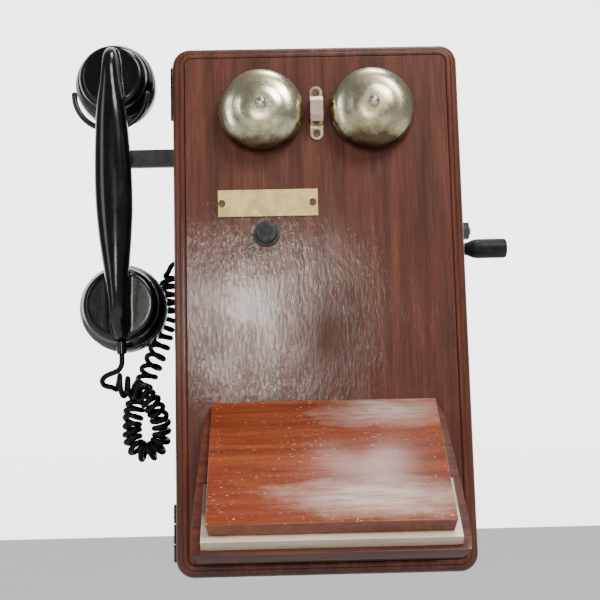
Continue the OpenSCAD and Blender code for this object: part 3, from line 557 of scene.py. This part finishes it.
def rrect_pts(w, h, r, k=10):
    out = []
    for cx, cz, a0 in ((w / 2 - r, h / 2 - r, 0), (-w / 2 + r, h / 2 - r, 90), (-w / 2 + r, -h / 2 + r, 180), (w / 2 - r, -h / 2 + r, 270)):
        for i in range(k + 1):
            a = math.radians(a0 + 90 * i / k); out.append((cx + r * math.cos(a), cz + r * math.sin(a)))
    return out

# door with its edge moulding: inset from the edge, depth
DOOR_W, DOOR_H, YD, YF = 215.0, 391.0, -96.0, -114.0
prof = [(0.35, -96.0), (0.0, -96.5), (0.0, -104.9)]
prof += [(4.7 - 4.7 * math.cos(math.radians(a)), -104.9 - 6.8 * math.sin(math.radians(a))) for a in range(9, 91, 9)]
prof += [(5.0, -111.75), (5.25, -111.6), (5.5, -111.9)]
prof += [(7.4 - 1.9 * math.cos(math.radians(a)), -112.1 - 1.15 * math.sin(math.radians(a))) for a in range(0, 181, 15)]
prof += [(9.45, -112.2), (9.6, -112.6), (9.75, -113.7), (10.05, -114.0)]
rings = []
verts = []
for d, y in prof:
    pts = rrect_pts(DOOR_W - 2 * d, DOOR_H - 2 * d, max(3.0, 13.0 - d * 0.85))
    rings.append(list(range(len(verts), len(verts) + len(pts))))
    verts += [(a * MM, y * MM, b * MM) for a, b in pts]
faces = []
for A, B in zip(rings, rings[1:]):
    n = len(A)
    faces += [(A[i], A[(i + 1) % n], B[(i + 1) % n], B[i]) for i in range(n)]
faces += [tuple(rings[0]), tuple(rings[-1])]
door = obj_from("door_panel_moulded", verts, faces, M_DOOR)
BX, BZ = -38.7, 50.7
cutters = [prism("c0", rrect_pts(11.4, 5.6, 2.6, 6), -120, -90), prism("c1", ring_pts(BX, BZ, 8.1), -120, -90)]
for v in cutters[0].data.vertices: v.co.z += 136.5 * MM
for s in (-1, 1):
    cutters.append(prism("c%d" % (3 + s), rect(89.4, 113.4, s * 130 - 20, s * 130 + 20), -97.5, -90))
cut(door, cutters)
shade_angle(door, 34)
take(door, "mahogany", "door_panel")

# shelf: board with an undercut edge and moulded base; the middle layer stays the CAD node
B0, B1, B2, B3 = (-113.4, -71.7), (-201.0, -155.6), (-193.9, -163.1), (-113.4, -86.4)
hw0, hw1 = 81.0, 79.2
bv = [(-hw0, *B0), (hw0, *B0), (hw0, *B1), (-hw0, *B1), (-hw1, *B3), (hw1, *B3), (hw1, *B2), (-hw1, *B2)]
board = obj_from("writing_board", [(a * MM, b * MM, c * MM) for a, b, c in bv], [(0, 1, 2, 3), (4, 7, 6, 5), (0, 4, 5, 1), (1, 5, 6, 2), (2, 6, 7, 3), (3, 7, 4, 0)], M_SHELF, smooth=False)
bevel(board, 0.7, 3, 30); bake(board); shade_angle(board, 50)
take(board, "shelf_mahogany", "shelf_board")
BO = [(81, -74.6), (83.6, -80), (85.2, -85), (86.3, -94), (87.3, -108), (88.7, -125), (90.2, -145), (90.8, -160), (90.4, -171), (88.6, -176.5), (85, -179.6), (80, -180.6)]
bo = cr_points([(a, b, 0) for a, b in BO], 3)[:, :2]
base = prism("shelf_base_moulding", [tuple(p) for p in bo] + [(-a, b) for a, b in bo[::-1]], -205, -112, "y", M_SHELF3)
slab = prism("slab", [(-111, -71.3), (-195.3, -174.8), (-190.3, -180), (-111, -104.1)], -96, 96, "x")
m = base.modifiers.new("i", "BOOLEAN"); m.operation = "INTERSECT"; m.object = slab; m.solver = "EXACT"
bake(base); me_ = slab.data; bpy.data.objects.remove(slab); bpy.data.meshes.remove(me_)
bevel(base, 2.3, 4, 38); bake(base)
cut(base, [prism("m0", [(-110, -83.2), (-197.5, -166.9), (-192.3, -171.95), (-110, -93.1)], -84.5, 84.5, "x"),
           prism("m1", [(-110, -50), (-110, -93.2), (-213, -191.6), (-213, -50)], -81.3, 81.3, "x")])
shade_angle(base, 40)
take(base, "mahogany", "shelf_base_layer")

# gongs: rolled lip, ogee shoulder
GO = [[1, 0], [1, 2.2], [0.985, 4.5], [0.955, 7], [0.905, 9.4], [0.84, 11.5], [0.76, 13.2], [0.68, 14.4], [0.61, 15.2],
      [0.54, 16.1], [0.46, 17.2], [0.36, 18.1], [0.25, 18.6], [0.12, 18.8]]
gp = cr_points([[31.5 * a, h, 0] for a, h in GO], 5)
inner = [(max(2.8, r - 1.4), max(0.35, h - 1.35)) for r, h, _ in gp[::-1] if r > 3.2]
gpro = [(31.3, -0.05), (31.5, 0.3)] + [(r, h) for r, h, _ in gp[2:]] + [(2.6, 18.8), (2.6, 17.4)] + inner + [(30.1, 0.1), (30.7, -0.1), (31.3, -0.05)]
for s, nm in ((-1, "gong_left"), (1, "gong_right")):
    o = lathe(nm + "_bell", [(r, -120.0 - h) for r, h in gpro], 176, "y", (s * 41.2, 0, 142.3), M_GONG, 40)
    take(o, "aged_nickel", nm)

# push button and its collar
o = lathe("push_button", [(0, -126), (3.5, -125.95), (5.6, -125.75), (6.7, -125.3), (7.35, -124.4), (7.6, -123.2), (7.6, -100), (3, -100), (3, -95.7),
                          (8.6, -95.7), (8.6, -94.5), (3, -94.5), (3, -88), (0, -88)], 72, "y", (BX, 0, BZ), M_BUTTON, 40)
take(o, "grey_black_button", "button_cap")
o = lathe("button_ring", [(7.9, -114), (9.4, -114), (9.4, -116.6), (9.2, -117.5), (8.75, -118.1), (8.2, -118.2), (7.9, -117.9), (7.9, -114)], 72, "y", (BX, 0, BZ), M_BUTTON, 40)
take(o, "grey_black_button", "button_collar")

# crank grip: barrel with a turned neck and a small end bead
gx = [(2.55, 0), (4.6, 0), (5.0, 0.4), (5.2, 1.6), (5.5, 2.4), (7.0, 6.0), (7.5, 7.6), (7.75, 9.4), (7.8, 12), (7.8, 31.2), (7.6, 32.3), (7.1, 33.1), (6.3, 33.5), (4.7, 33.6), (4.4, 33.3), (4.4, 29.4), (2.55, 29.4), (2.55, 0)]
gx = [(r, 119.5 + t) for r, t in gx]
o = lathe("crank_grip_turned", gx, 96, "x", (0, -31, 52.6), M_GRIP, 50)
take(o, "black_bakelite", "crank_grip")

# handset: handle lofted over the two cups, blended into one moulding
A_ = math.radians(-1.86)
def hsP(x, y, z): return (-153.3 + x * math.cos(A_) + z * math.sin(A_), y, 95 - x * math.sin(A_) + z * math.cos(A_))
def hs_obj(o):
    for v in o.data.vertices:
        x, y, z = v.co.x / MM, v.co.y / MM, v.co.z / MM
        v.co = Vector([q * MM for q in hsP(x, y, z)])
    return o
HS = [[-116,-85,5,5],[-113,-86.5,9,10],[-109,-88.5,11.5,16],[-100,-92,14,22.5],[-86,-94,15,24.6],
      [-70,-95,18,25],[-55,-95.6,21.5,24.6],[-40,-96,24.6,24],[-20,-96,27.4,24],[0,-96,28.2,24],
      [20,-96,27.2,24],[38,-96,25.4,24],[52,-96,23.4,24],[66,-95.6,20.5,23.6],[80,-94.6,16.5,23.4],
      [93,-93,14,22.5],[102,-90.5,12,18.5],[108,-87.5,9,11.5],[111.5,-85,5,5]]
S4 = cr_points([h[:3] for h in HS], 6); S4d = cr_points([[h[3], 0, 0] for h in HS], 6)[:, 0]
verts, faces = [], []
m_ = 48
for (z, yc, w_), dd in zip(S4, S4d):
    for j in range(m_):
        a = 2 * math.pi * j / m_; c, q = math.cos(a), math.sin(a)
        verts.append((w_ / 2 * math.copysign(abs(c) ** 0.88, c) * MM, (yc + dd / 2 * math.copysign(abs(q) ** 0.88, q)) * MM, z * MM))
nS = len(S4)
for i in range(nS - 1):
    for j in range(m_):
        j2 = (j + 1) % m_
        faces.append((i * m_ + j, i * m_ + j2, (i + 1) * m_ + j2, (i + 1) * m_ + j))
faces += [tuple(range(m_))[::-1], tuple(range((nS - 1) * m_, nS * m_))]
hand = obj_from("handset_body", verts, faces, M_BAKE)
def cup(name, z, r, c, k):
    return lathe(name, [(0, -55.6), (r - 3.7, -55.6), (r - 3.7, -66.9), (r - 0.3, -67.2), (r - 0.9, -69.8), (r - 2.4, -72.5), (0.4 * r + 0.6 * c, -74.6) if r < 32 else (r - 3.4, -74.6), (c, -77.0), (c, -79.6), (c - 0.5, -81.8), (c - 1.7, -83.8), (k + 0.7, -85.6), (k - 0.4, -86), (0, -86)], 128, "y", (0, 0, z), M_BAKE, 60)
parts_ = [cup("cup_a", 89.4, 31.2, 26.0, 21.6), cup("cup_b", -89.4, 33.1, 28.7, 24.6)]
bm = bmesh.new(); bm.from_mesh(hand.data)
for p_ in parts_: bm.from_mesh(p_.data)
bm.to_mesh(hand.data); bm.free()
for p_ in parts_:
    me_ = p_.data; bpy.data.objects.remove(p_); bpy.data.meshes.remove(me_)
rm = hand.modifiers.new("remesh", "REMESH"); rm.mode = "VOXEL"; rm.voxel_size = 0.95 * MM; rm.use_smooth_shade = True
sm = hand.modifiers.new("smooth", "SMOOTH"); sm.factor = 0.5; sm.iterations = 5
bake(hand)
cut(hand, [prism("k0", ring_pts(0, 89.4, 24.2, 64), -76, -50), prism("k1", ring_pts(0, -89.4, 26.1, 64), -76, -50)])
hs_obj(hand)
shade_angle(hand, 60)
take(hand, "black_bakelite", "handset_handle")

def cap_piece(name, node, z, r, d, holes):
    y0 = -67 + d
    pr = [(0, 4), (r * 0.3, 3.95), (r * 0.62, 3.6), (r * 0.70, 2.5), (r * 0.77, 1.1), (r * 0.83, 0.25), (r * 0.88, 0), (r * 0.93, 0.45), (r - 0.9, 1.8), (r - 0.25, 3.4), (r, 5.2),
          (r, d - 0.9), (r - 0.25, d - 0.3), (r - 0.7, d - 0.05), (r - 1.5, d), (r - 3.6, d), (r - 3.6, 9), (0, 9)]
    o = lathe(name, [(a, y0 - h) for a, h in pr], 144, "y", (0, 0, z), M_BAKE, 40)
    cs = [prism("h%d" % i, ring_pts(r * 0.3 * math.cos(2 * math.pi * i / holes), z + r * 0.3 * math.sin(2 * math.pi * i / holes), 1.4, 16), y0 - 12, y0 + 3) for i in range(holes)]
    cs.append(prism("hc", ring_pts(0, z, 1.4, 16), y0 - 12, y0 + 3))
    cut(o, cs); hs_obj(o); shade_angle(o, 40)
    take(o, "black_bakelite", node)
cap_piece("receiver_cap_turned", "receiver_cap", 89.4, 31.2, 22, 6)
cap_piece("transmitter_cap_turned", "transmitter_cap", -89.4, 33.1, 25, 8)

# ------------------------------------------------------------------ stage and light
def floor():
    s = 6.0
    o = obj_from("floor", [(-s, -s, -0.42), (s, -s, -0.42), (s, s, -0.42), (-s, s, -0.42)], [(0, 1, 2, 3)], None, smooth=False)
    m, nt, b = new_mat("floor_pale"); g = G(nt)
    n1 = g.noise(g.coord(), scale=3, detail=4)
    g.link(g.mix(g.maprange(n1, 0.3, 0.7, 0, 1), (0.80, 0.80, 0.79), (0.84, 0.84, 0.83)), b.inputs["Base Color"])
    b.inputs["Roughness"].default_value = 0.7
    o.data.materials.append(m)
floor()

w = bpy.data.worlds.new("studio"); w.use_nodes = True
wg = G(w.node_tree); bg = w.node_tree.nodes["Background"]
wtc = wg.n("ShaderNodeTexCoord"); wd = wg.sep(wtc.outputs["Generated"])
bg.inputs[0].default_value = (0.96, 0.975, 1.0, 1)
wy = wg.maprange(wd[1], 0.45, 0.93, 0.22, 4.0)
wz = wg.maprange(wd[2], -0.5, 0.1, 0.45, 1.0)
wg.link(wg.math("MULTIPLY", wy, wz), bg.inputs[1])
bpy.context.scene.world = w

def area(name, loc, target, size, power, col=(1, 1, 1), sy=None):
    d = bpy.data.lights.new(name, "AREA"); d.energy = power; d.size = size; d.color = col
    if sy: d.shape = "RECTANGLE"; d.size_y = sy
    o = bpy.data.objects.new(name, d)
    bpy.context.scene.collection.objects.link(o)
    dirv = Vector(target) - Vector(loc)
    o.rotation_euler = dirv.to_track_quat("-Z", "Y").to_euler()
    o.location = loc
    return o

area("window", (-0.115, -1.58, 0.175), (-0.05, -0.114, 0.0), 0.19, 4.6, (1.0, 0.97, 0.89), 0.28)
area("key", (0.65, -1.25, 1.15), (0, -0.1, 0.0), 0.7, 27, (1.0, 0.985, 0.96))
area("side", (-1.3, -0.9, 0.35), (0, -0.1, 0.0), 0.5, 7, (0.95, 0.97, 1.0), 1.2)
area("ceiling", (0.17, -0.04, 1.15), (0.03, -0.16, -0.11), 0.34, 7, (1, 1, 1), 0.30)
